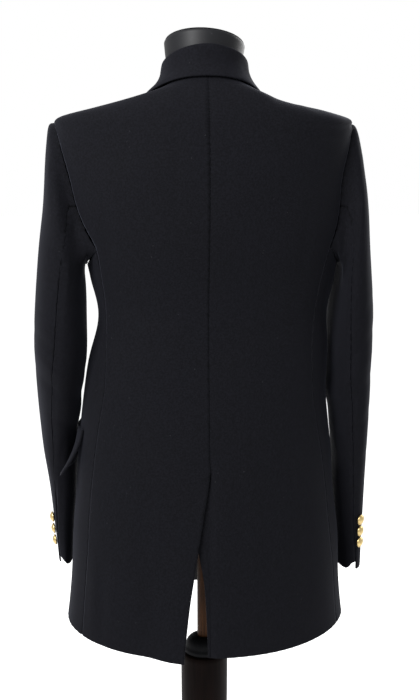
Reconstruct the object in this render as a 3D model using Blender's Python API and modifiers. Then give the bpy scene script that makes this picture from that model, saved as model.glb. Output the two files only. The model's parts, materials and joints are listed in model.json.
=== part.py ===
"""A long tailored blazer on a limbless dress form.

Metres, +Z up. The form's pole is the Z axis and the floor is z = 0. The back of the garment
faces +Y and the wearer's left is +X. Heights in the tables are above the hem, and widths and
depths are the cloth's outer face, measured from the pole's axis.
"""

import math
from dataclasses import dataclass

import bmesh
import bpy
from mathutils import Matrix, Vector

# Driving dimensions
HEM_Z = 0.640
CLOTH = 0.0020
COLLAR_CLOTH = 0.0014
SEAM_GAP = 0.00045
SLEEVE_SEAM_GAP = 0.0006
CUFF_VENT_SINK = 0.0028
CUFF_NOTCH = 0.0115
LAPEL_GAP = 0.0016
LAPEL_SINK = 0.42
FLAP_GAP = 0.0010

VENT_TOP = 0.252
UNDERLAP_DEPTH = 0.0034
FRONT_LAP = 0.016
BREAK_Z = 0.405
FRONT_DEPTH = 0.0034
GORGE_IN_Z = 0.715
GORGE_DROP = 0.043
FLAP_TOP = 0.3005

CUFF_BUTTON_D = 0.0155
CUFF_BUTTON_H = 0.0060
CUFF_BUTTON_PITCH = 0.0178
FRONT_BUTTON_D = 0.0200
FRONT_BUTTON_H = 0.0070

RIGHT_SLOPE = 0.0035

NECK_Y = 0.020
NECK_CAP_R = 0.0542
NECK_CAP_THICK = 0.0260
NECK_CAP_TOP = 0.8250
NECK_CAP_Y = 0.0172
NECK_TILT = math.radians(16)
NECK_ROLL = math.radians(-4)
FORM_BOTTOM = 0.200

POLE_R = 0.0105
BORE_R = 0.0112
POLE_BOTTOM_Z = 0.290
BORE_BOTTOM_Z = 0.180
COLUMN_R = 0.0348
COLUMN_TOP_Z = 0.5870
STAND_CAP_R = 0.0308
STAND_CAP_H = 0.0230
BASE_R = 0.190
BASE_H = 0.030
REST_GAP = 0.0003

SHEET_COLUMNS = 8
SIDE_COLUMNS = 6


@dataclass(frozen=True)
class Ring:
    """One section through the worn cloth, its outer face."""

    side_z: float
    half_width: float
    side_y: float
    back_z: float
    back_y: float
    front_z: float
    front_y: float
    power: float


def level(z, half_width, back_y, front_y, power=2.35):
    """A section that lies level."""
    return Ring(z, half_width, 0.0, z, back_y, z, front_y, power)


BODY_RINGS = (
    Ring(0.0160, 0.2020, 0.000, 0.0000, 0.1375, 0.0020, -0.1350, 2.35),
    level(0.050, 0.1970, 0.1335, -0.1320),
    level(0.100, 0.1935, 0.1295, -0.1290),
    level(0.150, 0.1910, 0.1255, -0.1265),
    level(0.200, 0.1860, 0.1215, -0.1240),
    level(0.250, 0.1830, 0.1170, -0.1210),
    level(0.300, 0.1780, 0.1110, -0.1180),
    level(0.350, 0.1710, 0.1035, -0.1145),
    level(0.390, 0.1650, 0.0985, -0.1120),
    level(0.425, 0.1550, 0.0955, -0.1105),
    level(0.450, 0.1500, 0.0948, -0.1110),
    level(0.470, 0.1495, 0.0958, -0.1130),
    level(0.485, 0.1520, 0.0975, -0.1160),
    level(0.500, 0.1565, 0.1000, -0.1210),
    level(0.530, 0.1630, 0.1070, -0.1330),
    level(0.560, 0.1730, 0.1130, -0.1390),
    level(0.600, 0.1880, 0.1180, -0.1380),
    level(0.650, 0.1980, 0.1200, -0.1250),
    level(0.690, 0.2045, 0.1170, -0.1080, 2.40),
    level(0.7215, 0.2035, 0.1120, -0.0950, 2.50),
    Ring(0.7290, 0.1930, 0.000, 0.7340, 0.1085, 0.7235, -0.0880, 2.50),
    Ring(0.7345, 0.1700, 0.000, 0.7450, 0.1040, 0.7260, -0.0810, 2.45),
    Ring(0.7380, 0.1500, 0.001, 0.7540, 0.0995, 0.7275, -0.0740, 2.40),
    Ring(0.7415, 0.1240, 0.004, 0.7640, 0.0940, 0.7270, -0.0660, 2.30),
    Ring(0.7485, 0.0870, 0.010, 0.7750, 0.0870, 0.7220, -0.0560, 2.15),
    Ring(0.7565, 0.0640, 0.018, 0.7880, 0.0800, 0.7140, -0.0460, 2.00),
)
TIP_ROW = 19
TOP_ROW = 25

# Heights of the panels' cross rows, up to the shoulder tip
ROW_LEVELS = (
    0.000, 0.030, 0.070, 0.110, 0.154, 0.200, 0.252, 0.275, 0.320, 0.360, 0.400, 0.435, 0.468,
    0.500, 0.528, 0.556, 0.580, 0.610, 0.640, 0.665, 0.690, 0.706, 0.7155, 0.7215,
)
ARMHOLE_FOOT = 0.556
BLEND_FROM = 0.500


@dataclass(frozen=True)
class Armhole:
    """A point of the armhole: its angle round the arm, its height and its angle round the body."""

    arm: float
    z: float
    body: float


ARMHOLE = (
    Armhole(0, 0.7215, 90),
    Armhole(20, 0.7150, 79),
    Armhole(45, 0.6900, 69.5),
    Armhole(70, 0.6500, 65.5),
    Armhole(90, 0.6100, 63.5),
    Armhole(110, 0.5800, 61),
    Armhole(130, 0.5560, 58),
    Armhole(148, 0.5400, 68),
    Armhole(165, 0.5315, 80),
    Armhole(180, 0.5290, 90),
    Armhole(195, 0.5315, 99),
    Armhole(212, 0.5400, 108),
    Armhole(230, 0.5560, 119),
    Armhole(250, 0.5800, 122),
    Armhole(270, 0.6100, 121),
    Armhole(290, 0.6500, 118),
    Armhole(315, 0.6900, 112),
    Armhole(340, 0.7150, 102),
    Armhole(360, 0.7215, 90),
)

# The right side hangs fuller at the waist than the left one: what it adds to the half width
RIGHT_EXTRA = (
    (0.000, 0.0020), (0.050, 0.0030), (0.110, 0.0040), (0.160, 0.0035), (0.225, 0.0015),
    (0.320, 0.0020), (0.350, 0.0040), (0.378, 0.0080), (0.400, 0.0140), (0.420, 0.0190),
    (0.445, 0.0245), (0.485, 0.0262), (0.530, 0.0237), (0.560, 0.0200), (0.600, 0.0100),
    (0.640, 0.0020), (0.665, 0.0000),
)
# Distance of the seam behind each arm from the centre back, at heights above the hem
LEFT_SEAM_X = (
    (0.000, 0.1805), (0.030, 0.1770), (0.126, 0.1690), (0.200, 0.1635), (0.295, 0.1525),
    (0.372, 0.1400), (0.456, 0.1375), (0.511, 0.1418), (0.556, 0.1495),
)
RIGHT_SEAM_X = (
    (0.000, 0.1885), (0.030, 0.1860), (0.110, 0.1790), (0.160, 0.1730), (0.206, 0.1684),
    (0.259, 0.1616), (0.336, 0.1494), (0.389, 0.1449), (0.432, 0.1456), (0.495, 0.1528),
    (0.556, 0.1672),
)
# Angle of the seam in front of each arm
FRONT_SEAM_DEG = ((0.000, 117.0), (0.200, 117.0), (0.400, 119.0), (0.556, 119.0))

# Free edges of the open vent, as distances from the centre back
VENT_EDGE_X = ((0.000, 0.0395), (0.080, 0.0275), (0.154, 0.0160), (0.220, 0.0050), (0.252, 0.0))
UNDERLAP_X = ((0.000, 0.0034), (0.100, 0.0090), (0.154, 0.0180), (0.220, 0.0270), (0.252, 0.0290))

# Width of the lapel outside the roll line
LAPEL_WIDTH = (
    (0.405, 0.003), (0.450, 0.018), (0.500, 0.037), (0.550, 0.053), (0.600, 0.067),
    (0.650, 0.080), (0.672, 0.085), (0.715, 0.088),
)


@dataclass(frozen=True)
class SleeveRing:
    """One section of a hanging sleeve, from its outermost to its innermost point."""

    outer_x: float
    outer_z: float
    inner_x: float
    inner_z: float
    depth: float
    centre_y: float
    hind_deg: float
    blend: float = 1.0


LEFT_UPPER_ARM = (
    SleeveRing(0.2140, 0.7195, 0.1655, 0.5240, 0.0640, 0.000, 92, 0.25),
    SleeveRing(0.2160, 0.7010, 0.1655, 0.5120, 0.0690, 0.000, 94, 0.60),
    SleeveRing(0.2170, 0.6760, 0.1655, 0.4980, 0.0725, 0.000, 94, 0.88),
    SleeveRing(0.2185, 0.6450, 0.1655, 0.4800, 0.0745, 0.000, 92),
    SleeveRing(0.2212, 0.6100, 0.1655, 0.4600, 0.0750, 0.000, 89),
    SleeveRing(0.2262, 0.5730, 0.1655, 0.4390, 0.0750, 0.000, 87),
    SleeveRing(0.2310, 0.5350, 0.1658, 0.4160, 0.0740, 0.000, 86),
    SleeveRing(0.2350, 0.4950, 0.1675, 0.3920, 0.0725, -0.001, 86),
    SleeveRing(0.2380, 0.4550, 0.1710, 0.3680, 0.0710, -0.003, 86),
)
RIGHT_UPPER_ARM = (
    SleeveRing(0.2120, 0.7190, 0.1900, 0.5250, 0.0640, 0.000, 98, 0.25),
    SleeveRing(0.2165, 0.7010, 0.1893, 0.5130, 0.0690, 0.000, 103, 0.60),
    SleeveRing(0.2195, 0.6760, 0.1878, 0.4990, 0.0725, 0.000, 107, 0.88),
    SleeveRing(0.2235, 0.6450, 0.1852, 0.4810, 0.0745, 0.000, 110),
    SleeveRing(0.2275, 0.6100, 0.1832, 0.4610, 0.0750, 0.000, 112),
    SleeveRing(0.2300, 0.5730, 0.1818, 0.4400, 0.0750, 0.000, 112),
    SleeveRing(0.2335, 0.5350, 0.1808, 0.4170, 0.0740, 0.000, 111),
    SleeveRing(0.2375, 0.4950, 0.1800, 0.3930, 0.0725, -0.001, 110),
    SleeveRing(0.2400, 0.4550, 0.1793, 0.3690, 0.0710, -0.003, 108),
)
LEFT_FOREARM = (
    SleeveRing(0.2400, 0.4150, 0.1755, 0.3430, 0.0695, -0.010, 85),
    SleeveRing(0.2400, 0.3750, 0.1772, 0.3170, 0.0670, -0.020, 83),
    SleeveRing(0.2388, 0.3350, 0.1824, 0.2900, 0.0640, -0.032, 81),
    SleeveRing(0.2370, 0.2930, 0.1834, 0.2610, 0.0610, -0.043, 79),
    SleeveRing(0.2342, 0.2530, 0.1848, 0.2330, 0.0585, -0.049, 75),
    SleeveRing(0.2288, 0.2160, 0.1864, 0.2050, 0.0570, -0.051, 67),
    SleeveRing(0.2249, 0.1810, 0.1882, 0.1770, 0.0560, -0.052, 61),
    SleeveRing(0.2221, 0.1480, 0.1910, 0.1470, 0.0550, -0.052, 56),
    SleeveRing(0.2190, 0.1180, 0.1930, 0.1170, 0.0545, -0.052, 52),
    SleeveRing(0.2166, 0.0890, 0.1948, 0.0850, 0.0540, -0.052, 50),
)
RIGHT_FOREARM = (
    SleeveRing(0.2400, 0.4150, 0.1790, 0.3430, 0.0700, -0.004, 106),
    SleeveRing(0.2400, 0.3750, 0.1850, 0.3170, 0.0685, -0.007, 106),
    SleeveRing(0.2398, 0.3350, 0.1885, 0.2900, 0.0670, -0.010, 106),
    SleeveRing(0.2394, 0.2950, 0.1920, 0.2620, 0.0650, -0.014, 105),
    SleeveRing(0.2392, 0.2550, 0.1940, 0.2340, 0.0630, -0.018, 102),
    SleeveRing(0.2388, 0.2150, 0.1940, 0.2050, 0.0610, -0.022, 97),
    SleeveRing(0.2386, 0.1770, 0.1965, 0.1740, 0.0590, -0.026, 93),
    SleeveRing(0.2384, 0.1410, 0.1990, 0.1380, 0.0575, -0.029, 89),
    SleeveRing(0.2383, 0.1080, 0.2005, 0.1050, 0.0560, -0.031, 82),
    SleeveRing(0.2380, 0.0760, 0.2010, 0.0750, 0.0555, -0.032, 77),
)
FORE_DEG = 256.0
SLEEVE_POWER = 2.2


@dataclass(frozen=True)
class CollarStation:
    """A cut across the collar: where it folds, and where its loose edge lies on the body."""

    fold: tuple
    edge_deg: float
    edge_row: float
    edge_lift: float
    seam_deg: float
    has_stand: bool = True


COLLAR = (
    CollarStation((0.0000, 0.0800, 0.8165), 0, 23.98, 0.0058, 0),
    CollarStation((0.0122, 0.0789, 0.8158), 13, 23.98, 0.0056, 14),
    CollarStation((0.0238, 0.0755, 0.8138), 26, 23.97, 0.0053, 28),
    CollarStation((0.0346, 0.0692, 0.8108), 39, 23.96, 0.0050, 42),
    CollarStation((0.0438, 0.0603, 0.8070), 52, 23.95, 0.0047, 56),
    CollarStation((0.0518, 0.0462, 0.8020), 68, 23.97, 0.0044, 70),
    CollarStation((0.0560, 0.0300, 0.7970), 81, 24.00, 0.0040, 83),
    CollarStation((0.0570, 0.0120, 0.7912), 93, 23.95, 0.0040, 95),
    CollarStation((0.0573, -0.0080, 0.7840), 104, 23.60, 0.0042, 106),
    CollarStation((0.0570, -0.0300, 0.7715), 116, 22.90, 0.0040, 117),
    CollarStation((0.0556, -0.0540, 0.7560), 130, 21.90, 0.0050, 128, False),
    CollarStation((0.0535, -0.0790, 0.7380), 147.5, 18.90, 0.0056, 140, False),
    CollarStation((0.0512, -0.0985, 0.7235), 156.5, 18.22, 0.0056, 150, False),
)
FOLD_R = 0.0013


@dataclass(frozen=True)
class FormRing:
    """A level section of the dress form."""

    z: float
    half_width: float
    back_y: float
    front_y: float


FORM_RINGS = (
    FormRing(0.200, 0.120, 0.082, -0.088),
    FormRing(0.206, 0.134, 0.092, -0.098),
    FormRing(0.240, 0.150, 0.102, -0.106),
    FormRing(0.300, 0.158, 0.101, -0.107),
    FormRing(0.370, 0.148, 0.092, -0.101),
    FormRing(0.440, 0.126, 0.083, -0.094),
    FormRing(0.490, 0.132, 0.086, -0.100),
    FormRing(0.540, 0.146, 0.099, -0.121),
    FormRing(0.590, 0.156, 0.109, -0.129),
    FormRing(0.640, 0.164, 0.113, -0.120),
    FormRing(0.685, 0.169, 0.111, -0.103),
    FormRing(0.712, 0.170, 0.107, -0.092),
)
# Body rows that the form's shoulders follow, and how far inside the cloth they lie
FORM_SHOULDERS = (
    (21.0, 0.0012), (22.0, 0.0008), (23.0, 0.0009), (23.6, 0.0014), (24.3, 0.0028), (24.85, 0.0042),
)
# Sections of the form's neck: how far below its end, how wide and how far forward of it
FORM_NECK = ((0.0345, 0.0530, 0.0060), (0.0150, 0.0500, 0.0030), (0.0, 0.0500, 0.0))
FORM_COLUMNS = 24


def through(points, at):
    """A smooth curve through (place, value) pairs that never overshoots them.

    Args:
        points: Pairs in rising order of place.
        at: The place to read.

    Returns:
        The value there, held level past both ends.
    """
    if at <= points[0][0]:
        return points[0][1]
    if at >= points[-1][0]:
        return points[-1][1]
    spans = [b[0] - a[0] for a, b in zip(points, points[1:])]
    rates = [(b[1] - a[1]) / span for a, b, span in zip(points, points[1:], spans)]
    slopes = [rates[0]]
    for left, right in zip(rates, rates[1:]):
        slopes.append(0.0 if left * right <= 0 else 2 * left * right / (left + right))
    slopes.append(rates[-1])
    k = max(i for i in range(len(spans)) if points[i][0] <= at)
    s = (at - points[k][0]) / spans[k]
    rise = points[k + 1][1] - points[k][1]
    bend = s * (1 - s)
    return (
        points[k][1]
        + rise * s * s * (3 - 2 * s)
        + spans[k] * bend * (slopes[k] * (1 - s) - slopes[k + 1] * s)
    )


def ease(low, high, at):
    """0 below low, 1 above high and a smooth rise between."""
    s = min(1.0, max(0.0, (at - low) / (high - low)))
    return s * s * (3 - 2 * s)


def signed_power(value, power):
    """|value| to a power, keeping the sign."""
    return math.copysign(abs(value) ** power, value)


def ring_at(row):
    """The body section at a fractional row of the table."""
    names = Ring.__dataclass_fields__
    values = [through([(i, getattr(r, n)) for i, r in enumerate(BODY_RINGS)], row) for n in names]
    return Ring(*values)


RING_CACHE = {}


def cached_ring(row):
    """The same, remembered."""
    key = round(row, 6)
    if key not in RING_CACHE:
        RING_CACHE[key] = ring_at(row)
    return RING_CACHE[key]


def half_width(row, side):
    """The section's half width on the wearer's left (1) or right (-1)."""
    ring = cached_ring(row)
    return ring.half_width + (through(RIGHT_EXTRA, ring.side_z) if side < 0 else 0.0)


def outer_point(deg, row):
    """The cloth's outer face at an angle from the centre back (90 is the wearer's left)."""
    ring = cached_ring(row)
    angle = math.radians(deg)
    across, along = math.sin(angle), math.cos(angle)
    reach = ring.back_y if along > 0 else ring.front_y
    rise = (ring.back_z if along > 0 else ring.front_z) - ring.side_z
    x = half_width(row, 1 if across > 0 else -1) * signed_power(across, 2 / ring.power)
    y = ring.side_y + (reach - ring.side_y) * abs(along) ** (2 / ring.power)
    return Vector((x, y, HEM_Z + ring.side_z + rise * along * along))


def outer_normal(deg, row):
    """The outward direction of the cloth there."""
    low, high = max(0.0, row - 0.04), min(TOP_ROW, row + 0.04)
    across = outer_point(deg + 1.2, row) - outer_point(deg - 1.2, row)
    up = outer_point(deg, high) - outer_point(deg, low)
    return -across.cross(up).normalized()


def body_point(deg, row, lift=0.0):
    """A point on the cloth. A lift of 0 is its inner face and CLOTH is its outer one."""
    point = outer_point(deg, row) + outer_normal(deg, row) * (lift - CLOTH)
    if point.x < -0.060 and row > 20:
        slope = ease(0.060, 0.095, -point.x) * (1 - ease(0.105, 0.165, -point.x))
        point.z -= RIGHT_SLOPE * slope * ease(20.0, 23.0, row)
    return point


def row_at(z):
    """The fractional row of a height above the hem, at the side."""
    low, high = 0.0, float(TOP_ROW)
    for _ in range(36):
        middle = (low + high) / 2
        if cached_ring(middle).side_z < z:
            low = middle
        else:
            high = middle
    return round((low + high) / 2, 5)


def deg_at(x, row, side, front=False):
    """The angle from the centre back, towards one side, at a distance x that way."""
    ring = cached_ring(row)
    share = min(1.0, abs(x) / half_width(row, side if x > 0 else -side))
    deg = math.degrees(math.asin(share ** (ring.power / 2)))
    deg = math.copysign(deg, x)
    return (180 - deg) if front else deg


def gap_deg(row, size):
    """The angle that spans a distance along the section near the side of the body."""
    ring = cached_ring(row)
    return math.degrees(size / (0.5 * (ring.half_width + abs(ring.back_y))))


def armhole_deg(z, front):
    """The armhole's angle round the body at a height, on its back or its front."""
    half = [p for p in ARMHOLE if (p.arm >= 230 if front else p.arm <= 130)]
    return through(sorted((p.z, p.body) for p in half), z)


def arm_at(z, front):
    """The angle round the arm at which the armhole reaches a height."""
    half = [p for p in ARMHOLE if (p.arm >= 230 if front else p.arm <= 130)]
    return through(sorted((p.z, p.arm) for p in half), z)


def armhole_foot(deg):
    """The armhole's height at an angle round the body, under the arm."""
    return through([(p.body, p.z) for p in ARMHOLE if 130 <= p.arm <= 230], deg)


def make_sheet(name, grid, material, thickness, offset=1.0, flip=False, keep=None):
    """An open sheet from a grid of points, thickened by Solidify.

    Args:
        name: The object's name.
        grid: Rows of points.
        material: Its material.
        thickness: The wall in metres.
        offset: 1 thickens outwards, 0 both ways.
        flip: Turns the sheet over.
        keep: Says which cells exist, by row and column.

    Returns:
        The object.
    """
    mesh = bpy.data.meshes.new(name)
    bm = bmesh.new()
    made = {}

    def corner(r, c):
        if (r, c) not in made:
            made[(r, c)] = bm.verts.new(grid[r][c])
        return made[(r, c)]

    for r in range(len(grid) - 1):
        for c in range(len(grid[r]) - 1):
            if keep is not None and not keep(r, c):
                continue
            loop = [corner(r, c), corner(r, c + 1), corner(r + 1, c + 1), corner(r + 1, c)]
            bm.faces.new(loop[::-1] if flip else loop)
    bm.normal_update()
    bm.to_mesh(mesh)
    bm.free()
    obj = bpy.data.objects.new(name, mesh)
    wall = obj.modifiers.new("Wall", "SOLIDIFY")
    wall.thickness = thickness
    wall.offset = offset
    wall.use_even_offset = True
    wall.use_quality_normals = True
    finish(obj, material)
    return obj


def make_turned(name, profile, material, steps):
    """A turned solid: a profile of (radius, height), swept round Z by a Screw modifier."""
    mesh = bpy.data.meshes.new(name)
    edges = [(i, i + 1) for i in range(len(profile) - 1)]
    mesh.from_pydata([(r, 0.0, z) for r, z in profile], edges, [])
    obj = bpy.data.objects.new(name, mesh)
    turn = obj.modifiers.new("Turn", "SCREW")
    turn.steps = steps
    turn.render_steps = steps
    turn.use_merge_vertices = True
    turn.merge_threshold = 0.00001
    turn.use_smooth_shade = True
    finish(obj, material)
    return obj


def finish(obj, material):
    """Gives the object its material and puts it in the part's collection."""
    obj.data.materials.append(material)
    PARTS.objects.link(obj)


def make_material(name, colour, roughness, metallic=0.0):
    """A Principled material from the photograph's colour."""
    material = bpy.data.materials.new(name)
    material.use_nodes = True
    shader = material.node_tree.nodes["Principled BSDF"]
    shader.inputs["Base Color"].default_value = (*colour, 1.0)
    shader.inputs["Roughness"].default_value = roughness
    shader.inputs["Metallic"].default_value = metallic
    material.diffuse_color = (*colour, 1.0)
    return material


def spread(low, high, count):
    """count + 1 even steps from low to high."""
    return [low + (high - low) * i / count for i in range(count + 1)]


def panel_rows():
    """The fractional body rows of the cross rows, hem to neck."""
    shoulder = [TIP_ROW + k for k in (1, 2, 3, 4, 4.6, 5.3, 6)]
    return [row_at(z) for z in ROW_LEVELS] + shoulder


def side_edge_deg(row, z, side, front):
    """Where a back or front panel ends towards the arm."""
    if row > TIP_ROW:
        return 90.0
    if z > ARMHOLE_FOOT + 1e-6:
        return armhole_deg(z, front)
    if front:
        return through(FRONT_SEAM_DEG, z)
    return deg_at(through(LEFT_SEAM_X if side > 0 else RIGHT_SEAM_X, z), row, side)


def flare(z, from_edge):
    """How far the loose vent edge swings out behind, near the hem."""
    return 0.0085 * (1 - ease(0.0, 0.240, z)) * (1 - ease(0.0, 0.055, from_edge))


def corner_drop(z, from_edge):
    """How much lower the loose vent edge hangs than the rest of the hem."""
    return 0.005 * (1 - ease(0.0, 0.080, z)) * (1 - ease(0.0, 0.060, from_edge))


def make_back(side, material):
    """One back panel. The wearer's left one lies over the other one's vent extension."""
    over = side > 0
    grid = []
    rows = panel_rows()
    for row in rows:
        z = cached_ring(row).side_z
        gap = gap_deg(row, SEAM_GAP / 2)
        far = side_edge_deg(row, z, side, False) - gap
        start = SEAM_GAP / 2
        if over and z < VENT_TOP:
            start += through(VENT_EDGE_X, z)
        near = deg_at(start, row, side)
        line = []
        if not over:
            reach = through(UNDERLAP_X, min(z, VENT_TOP))
            line = [deg_at(-x, row, side) for x in spread(reach, 0.3 * reach, 2)]
        main = spread(near, far, SHEET_COLUMNS)
        if not over:
            main.insert(1, deg_at(0.010, row, side))
        line += main
        points = []
        for deg in line:
            x = outer_point(deg * side, row).x * side
            lift = 0.0
            if over:
                lift += flare(z, x - through(VENT_EDGE_X, z)) if z < VENT_TOP else 0.0
            else:
                dip = ease(-0.0105, -0.001, -x)
                lift -= UNDERLAP_DEPTH * dip * (1 - ease(VENT_TOP, 0.274, z))
            point = body_point(deg * side, row, lift)
            if over:
                point.z -= corner_drop(z, x - through(VENT_EDGE_X, z))
            points.append(point)
        grid.append(points)
    vent_rows = sum(1 for z in ROW_LEVELS if z <= VENT_TOP + 1e-6)
    keep = None if over else (lambda r, c: c >= 3 or r < vent_rows - 1)
    name = "back_left" if over else "back_right"
    return make_sheet(name, grid, material, CLOTH, flip=over, keep=keep)


def make_side(side, material):
    """The panel under one arm, between the two side seams."""
    grid = []
    for level_z in ROW_LEVELS:
        if level_z > ARMHOLE_FOOT + 1e-6:
            break
        row = row_at(level_z)
        gap = gap_deg(row, SEAM_GAP / 2)
        near = side_edge_deg(row, level_z, side, False) + gap
        far = side_edge_deg(row, level_z, side, True) - gap
        points = []
        for deg in spread(near, far, SIDE_COLUMNS):
            place = row
            if level_z > BLEND_FROM:
                share = (level_z - BLEND_FROM) / (ARMHOLE_FOOT - BLEND_FROM)
                foot = armhole_foot(58 + (deg - near) / (far - near) * 61)
                place = row_at(BLEND_FROM + share * (foot - BLEND_FROM))
            points.append(body_point(deg * side, place))
        grid.append(points)
    name = "side_left" if side > 0 else "side_right"
    return make_sheet(name, grid, material, CLOTH, flip=side > 0)


def past_centre(row, z):
    """How far a front reaches past the middle: its lap, then the roll line, which turns back."""
    if row > TIP_ROW:
        return -(0.0508 + 0.0112 * ease(TIP_ROW, TOP_ROW, row))
    return FRONT_LAP - max(0.0, z - BREAK_Z) * (FRONT_LAP + 0.0508) / (0.7215 - BREAK_Z)


def front_lift(side, z, x):
    """The left front passes under the right one at the lap."""
    if side < 0:
        return 0.0
    under = 1 - ease(0.018, 0.034, x)
    return -FRONT_DEPTH * under * (1 - ease(0.505, 0.545, z))


def make_front(side, material):
    """One front panel, up to the line on which the lapel rolls."""
    grid = []
    for row in panel_rows():
        z = cached_ring(row).side_z
        near = side_edge_deg(row, z, side, True) + gap_deg(row, SEAM_GAP / 2)
        past = past_centre(row, z)
        far = deg_at(-past, row, side, front=True)
        points = []
        for deg in spread(near, far, SHEET_COLUMNS):
            x = outer_point(deg * side, row).x * side
            points.append(body_point(deg * side, row, front_lift(side, z, x)))
        grid.append(points)
    name = "front_left" if side > 0 else "front_right"
    return make_sheet(name, grid, material, CLOTH, flip=side > 0)


def make_lapel(side, material):
    """The turned-back front, laid on its panel outside the roll line."""
    low = 0.412 if side < 0 else 0.496
    grid = []
    for v in spread(0.0, 1.0, 13):
        points = []
        for u in spread(0.0, 1.0, 5):
            top = GORGE_IN_Z - GORGE_DROP * u
            z = low + (top - low) * v
            row = row_at(z)
            width = through(LAPEL_WIDTH, z if side < 0 else z - 0.03 * (1 - v))
            x = -past_centre(row, z) + 0.0006 + width * u
            roll = 0.0010 * (1 - u) ** 3
            off = 0.0004 + (LAPEL_GAP - 0.0002 + roll) * ease(0.0, 0.16, v)
            off += LAPEL_SINK * front_lift(side, z, x)
            deg = deg_at(x, row, side, front=True)
            points.append(body_point(deg * side, row, CLOTH + off))
        grid.append(points)
    name = "lapel_left" if side > 0 else "lapel_right"
    return make_sheet(name, grid, material, CLOTH, flip=side < 0)


def collar_profile(station):
    """The points of one cut across the collar, from its seam over the fold to its loose edge."""
    fold = Vector(station.fold) + Vector((0.0, 0.0, HEM_Z))
    away = Vector((station.fold[0], station.fold[1] - NECK_Y, 0.0)).normalized()
    seam = body_point(station.seam_deg, TOP_ROW, CLOTH / 2) + Vector((0.0, 0.0, 0.0016))
    edge = body_point(station.edge_deg, station.edge_row, station.edge_lift)
    inner = fold - away * FOLD_R - Vector((0.0, 0.0, FOLD_R))
    outer = fold + away * FOLD_R - Vector((0.0, 0.0, FOLD_R))
    lean = max(0.0, (edge - outer).dot(away))
    knee = outer.lerp(edge, 0.30) - away * (0.21 * lean) - Vector((0.0, 0.0, 0.0022))
    shin = outer.lerp(edge, 0.62) - away * (0.25 * lean) - Vector((0.0, 0.0, 0.0018))
    calf = outer.lerp(edge, 0.84) - away * (0.13 * lean)
    if not station.has_stand:
        knee = outer.lerp(edge, 0.30) + Vector((0.0, -0.0016, 0.0020))
        shin = outer.lerp(edge, 0.62) + Vector((0.0, -0.0020, 0.0022))
        calf = outer.lerp(edge, 0.84)
    return [seam, seam.lerp(inner, 0.5), inner, fold, outer, knee, shin, calf, edge]


def make_collar(material):
    """The turned-down collar, its stand and its fall in one piece round the neck."""
    half = [collar_profile(station) for station in COLLAR]
    mirrored = [[Vector((-p.x, p.y, p.z)) for p in line] for line in half[:0:-1]]
    grid = mirrored + half
    stands = [s.has_stand for s in COLLAR]
    stands = stands[:0:-1] + stands
    return make_sheet(
        "collar", grid, material, COLLAR_CLOTH, offset=0.0,
        keep=lambda r, c: c >= 3 or (stands[r] and stands[r + 1]),
    )


def armhole_start(arm, side):
    """The sleeve's first outer point beside the armhole, just clear of the body's edge."""
    def on_edge(angle):
        angle = min(360.0, max(0.0, angle))
        z = through([(p.arm, p.z) for p in ARMHOLE], angle)
        deg = through([(p.arm, p.body) for p in ARMHOLE], angle)
        return deg * side, row_at(z)

    deg, row = on_edge(arm)
    here = body_point(deg, row, CLOTH)
    ahead = body_point(*on_edge(arm + 2), CLOTH)
    behind = body_point(*on_edge(arm - 2), CLOTH)
    normal = outer_normal(deg, row)
    inward = normal.cross(ahead - behind).normalized()
    middle = Vector((0.185 * side, 0.0, HEM_Z + 0.62))
    if inward.dot(middle - here) < 0:
        inward = -inward
    under = 0.5 - 0.5 * math.cos(math.radians(arm))
    return here + inward * (0.0009 + 0.0006 * under) + normal * 0.0012 * under ** 2


def sleeve_point(rings, k, theta, side):
    """The outer face of a sleeve at a section and an angle: 0 outermost, 90 behind."""
    arm = theta % 360
    if k == 0:
        return armhole_start(arm, side)
    ring = rings[k - 1]
    outer = Vector((ring.outer_x * side, ring.centre_y, HEM_Z + ring.outer_z))
    inner = Vector((ring.inner_x * side, ring.centre_y, HEM_Z + ring.inner_z))
    across, along = math.cos(math.radians(arm)), math.sin(math.radians(arm))
    point = (outer + inner) / 2 + (outer - inner) / 2 * signed_power(across, 2 / SLEEVE_POWER)
    point.y += ring.depth * signed_power(along, 2 / SLEEVE_POWER)
    if ring.blend < 1:
        start = armhole_start(arm, side)
        middle = (armhole_start(0, side) + armhole_start(180, side)) / 2
        shift = (outer + inner) / 2 - middle
        point = (start + shift).lerp(point, ring.blend)
    return point


def sleeve_inner_point(rings, k, theta, side, sink=0.0):
    """The inner face, one cloth thickness in from the outer one, and further in by sink."""
    here = sleeve_point(rings, k, theta, side)
    round_it = sleeve_point(rings, k, theta + 6, side) - sleeve_point(rings, k, theta - 6, side)
    last = len(rings)
    down = sleeve_point(rings, min(last, k + 1), theta, side)
    down -= sleeve_point(rings, max(0, k - 1), theta, side)
    normal = down.cross(round_it).normalized() * side
    return here - normal * (CLOTH + sink)


def sleeve_rings(side):
    """The sections of one sleeve."""
    return LEFT_UPPER_ARM + LEFT_FOREARM if side > 0 else RIGHT_UPPER_ARM + RIGHT_FOREARM


def seam_step(rings, k, theta):
    """The angle that half of a sleeve seam's gap takes up there."""
    side = 1 if rings[-1] is LEFT_FOREARM[-1] else -1
    span = sleeve_inner_point(rings, k, theta + 3, side) - sleeve_inner_point(rings, k, theta - 3, side)
    return SLEEVE_SEAM_GAP / 2 / (span.length / 6)


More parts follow.
